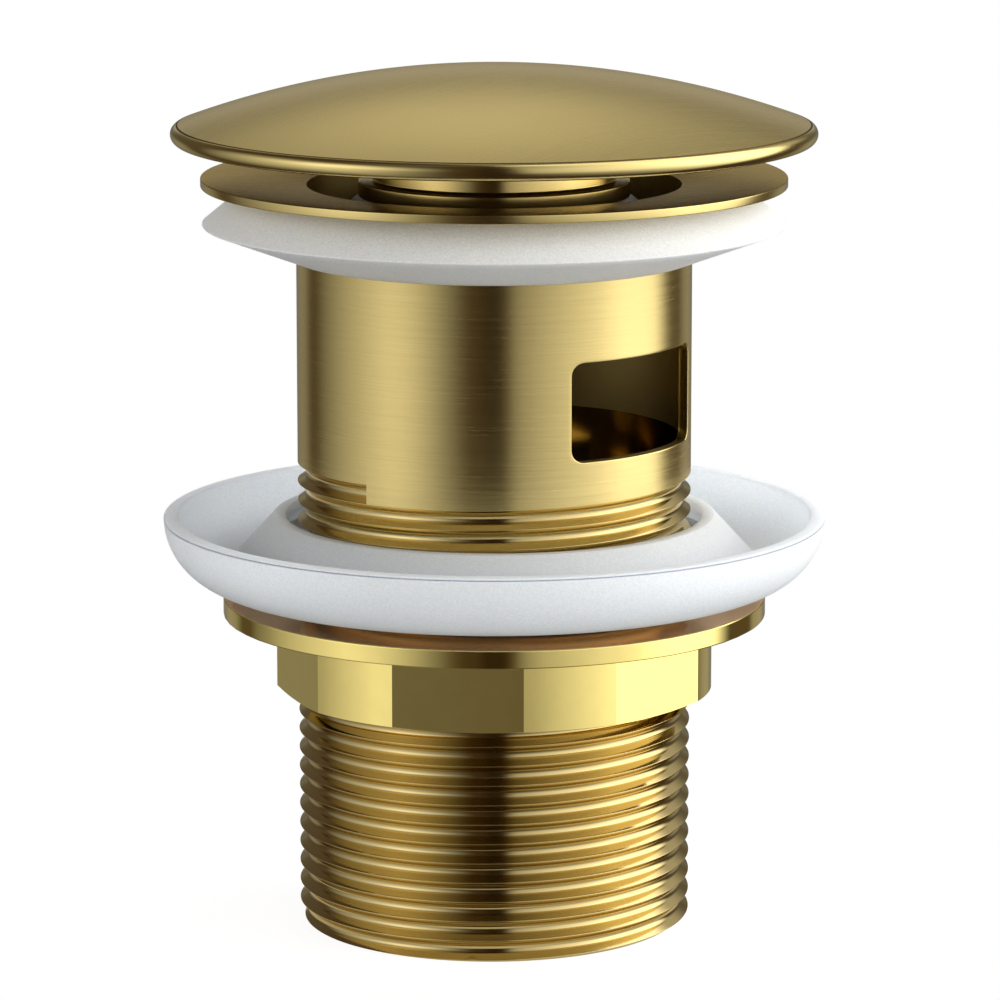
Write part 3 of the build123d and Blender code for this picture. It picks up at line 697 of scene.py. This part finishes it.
# Studio
def right_panel(azimuth, elevation):
    """Bright wide panel on the right. It begins dim near the front and steps up at the side, ends further
    back the higher it is, and fades towards the floor and overhead."""
    panel = azimuth.ramp(4, 15) * elevation.ramp(-34, 2, 0, 0.32) + azimuth.slope(8, 60) * 0.87
    panel = panel + azimuth.ramp(56, 84) * 0.62
    beyond = (azimuth - elevation * 0.6).ramp(109, 127)
    panel = panel * (1 - beyond * elevation.ramp(8, 24, 0.98, 0.80)) * azimuth.ramp(146, 164, 1, 0)
    return panel * elevation.ramp(-66, 20, 0, 1.42) * elevation.slope(36, 72, 1, 0.5)


def left_panel(azimuth, elevation):
    """Softer panel on the left, dimmer towards the back: a low part that fades towards the floor, and a
    brighter part above eye level."""
    panel = azimuth.ramp(-10, -62) * azimuth.slope(-66, -126, 0.91, 0.04) * azimuth.ramp(-140, -160, 1, 0)
    low = elevation.slope(-75, -10)
    high = elevation.ramp(-12, 20) * azimuth.slope(-60, -85, 0.8, 0.35)
    return panel * (low + high) * elevation.ramp(16, 56, 1, 0.06)


def ceiling_panel(azimuth, elevation, aside):
    """Lit ceiling behind the part, weaker away from its middle, above all on the right, and overhead."""
    panel = elevation.ramp(12, 34) * elevation.ramp(38, 58, 1, 0.15) * aside.ramp(3, 17, 0.66, 0.42)
    return panel * aside.ramp(12, 28, 1, 0) * (1 - azimuth.ramp(0, 1) * azimuth.slope(160, 178, 0.6, 0))


def back_light(azimuth, elevation, aside):
    """Dim light behind the part: a wide tone that fades towards the floor, a narrow strip at each side of
    it, and a band just above the horizon."""
    wide = aside.ramp(10, 44, 1, 0) * elevation.ramp(-40, -12) * elevation.ramp(-6, 2, 1, 0.6)
    strips = azimuth.ramp(-133, -144) * azimuth.ramp(-150, -166, 1, 0) * 0.17
    strips = strips + azimuth.ramp(134, 145) * azimuth.ramp(152, 166, 1, 0) * 0.20
    strips = strips * elevation.ramp(-40, -12) * elevation.ramp(-8, 6, 1, 0)
    band = aside.ramp(6, 20, 1, 0) * elevation.ramp(0, 7) * elevation.ramp(10, 18, 1, 0)
    return wide * 0.17 + strips + band * 0.34


def studio_world():
    """Soft studio round the part. Its brightness at a direction's azimuth and elevation is the sum of a dim
    tone all round, darkest in front, and of the panels, with aside as the angle from straight behind. Where
    it is dim it is warmer. A white wall stands behind the part: the camera sees it on every side, and metal
    and clear pieces see it where it stands."""
    world = bpy.data.worlds.new("soft_studio")
    bpy.context.scene.world = world
    world.use_nodes = True
    world.node_tree.nodes.clear()
    bench = Bench(world.node_tree)
    direction = bench.node("ShaderNodeTexCoord")[0]
    x, y, z = bench.node("ShaderNodeSeparateXYZ", None, direction)[:3]
    azimuth = bench.node("ShaderNodeMath", {"operation": "ARCTAN2"}, x, -y)[0] * (180 / pi)
    elevation = bench.node("ShaderNodeMath", {"operation": "ARCSINE"}, z)[0] * (180 / pi)
    aside = 180 - azimuth.size()
    panels = right_panel(azimuth, elevation) + left_panel(azimuth, elevation)
    panels = panels + ceiling_panel(azimuth, elevation, aside) + back_light(azimuth, elevation, aside)
    level = azimuth.size().ramp(2, 9, 0.03, 0.06) + panels
    warm = bench.mix(level.ramp(0.03, 0.2), (1, 0.66, 0.36, 1), (1, 1, 1, 1))
    wall = aside.ramp(4, 9, 1, 0) * elevation.ramp(-24, -17) * elevation.ramp(-8, -3, 1, 0)
    seen_by = bench.node("ShaderNodeLightPath")
    camera_ray, glossy_ray, clear_ray = seen_by[0], seen_by[3], seen_by[6]
    white = camera_ray + (glossy_ray + clear_ray) * wall
    colour = bench.mix(white, warm, (1, 1, 1, 1))
    background = bench.node("ShaderNodeBackground", None, colour, level * (1 - white) + white)[0]
    bench.node("ShaderNodeOutputWorld", None, background)


studio_world()


def pale_floor():
    """Round pale floor that fades out. Its own glow makes it white to the camera, and pale to metal and
    through clear pieces, and it keeps the part's soft shadow."""
    sides, floor_radius, drop = 96, 90.0, 0.02
    disc = turned([(0.01, -drop), (floor_radius, -drop)], sides)[0]
    mesh = bpy.data.meshes.new("floor")
    mesh.from_pydata(disc.reshape(-1, 3) * MILLIMETRE, [], grid_quads(sides, 2, True, False).tolist())
    material, bench = new_material("floor_paper")
    seen_by = bench.node("ShaderNodeLightPath")
    camera_ray, glossy_ray, clear_ray = seen_by[0], seen_by[3], seen_by[6]
    paper = bench.node("ShaderNodeBsdfDiffuse", None, (0.3, 0.3, 0.3, 1))[0]
    white = camera_ray * 0.86 + (glossy_ray + clear_ray) * 0.45
    glow = bench.node("ShaderNodeEmission", None, None, white)[0]
    both = bench.node("ShaderNodeAddShader", None, paper, glow)[0]
    nothing = bench.node("ShaderNodeBsdfTransparent")[0]
    x, y, z = bench.place()
    faded = (x * x + y * y).power(0.5).ramp(22.0, 40.0)
    mixed = bench.node("ShaderNodeMixShader", None, faded, both, nothing)[0]
    bench.node("ShaderNodeOutputMaterial", None, mixed)
    floor = bpy.data.objects.new("floor", mesh)
    bpy.context.scene.collection.objects.link(floor)
    mesh.materials.append(material)


pale_floor()


lamp_distance, lamp_aim = 0.9, 0.045


def soft_lamp(name, azimuth, elevation, size, power):
    """Large soft lamp aimed at the part's middle. It lights matt surfaces and stays out of the metal's
    reflections."""
    lamp = bpy.data.lights.new(name, "AREA")
    lamp.shape, lamp.size, lamp.energy = "DISK", size, power
    holder = bpy.data.objects.new(name, lamp)
    a, e = radians(azimuth), radians(elevation)
    holder.location = (lamp_distance * sin(a) * cos(e), -lamp_distance * cos(a) * cos(e),
                       lamp_aim + lamp_distance * sin(e))
    holder.rotation_euler = (pi / 2 - e, 0, a)
    holder.visible_glossy = False
    bpy.context.scene.collection.objects.link(holder)


soft_lamp("front_lamp", 5, 0, 0.7, 2.4)
soft_lamp("right_lamp", 80, 8, 0.6, 3.9)
soft_lamp("left_lamp", -98, 6, 0.6, 2.3)
soft_lamp("back_lamp", 180, 8, 0.7, 3.5)

# Camera, where it stood for the photograph
lens_data = bpy.data.cameras.new("camera")
lens_data.sensor_width = 36.0
lens_data.lens = 190.876
lens_data.clip_start, lens_data.clip_end = 0.01, 10.0
camera = bpy.data.objects.new("camera", lens_data)
camera.location = (0.000613, -0.55585, 0.1522)
camera.rotation_euler = (radians(79.103), 0, 0)
bpy.context.scene.collection.objects.link(camera)
bpy.context.scene.camera = camera
bpy.context.scene.view_settings.view_transform = "Standard"
